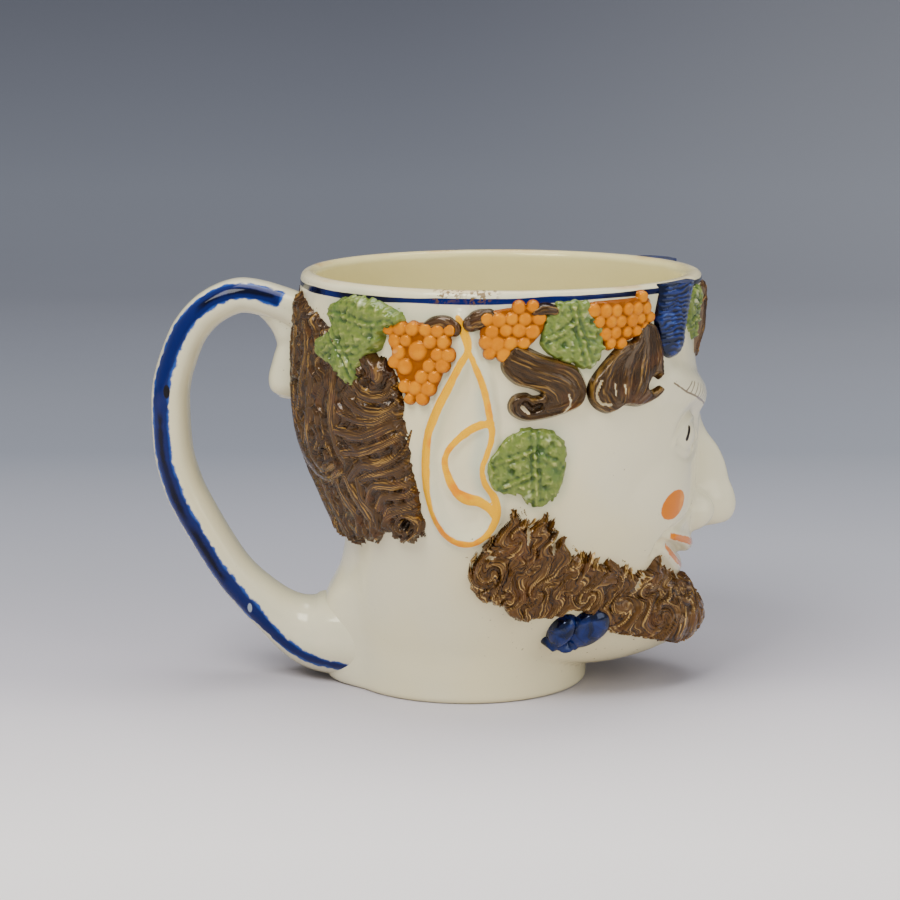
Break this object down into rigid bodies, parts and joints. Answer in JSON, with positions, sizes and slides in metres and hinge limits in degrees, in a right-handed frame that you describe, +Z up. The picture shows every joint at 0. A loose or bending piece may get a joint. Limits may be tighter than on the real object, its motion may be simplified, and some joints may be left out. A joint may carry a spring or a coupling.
{
  "type": "satyr mug",
  "caption": "Hollow earthenware drinking mug moulded as a bearded satyr's head with a vine wreath, pointed ears, short horns and a strap handle at the back",
  "frame": {"origin": "centre of the flat underside of the foot, on the surface the mug stands on", "axes": "+X out of the face, +Y to the head's left, +Z up; the handle is at -X"},
  "size_m": [0.159, 0.1141, 0.112],
  "materials": {
    "glazed_earthenware": "clear lead glaze over cream earthenware, with underglaze blue, green, orange, ochre and brown"
  },
  "bodies": {
    "root": {"mug": "glazed_earthenware"}
  },
  "joints": []
}
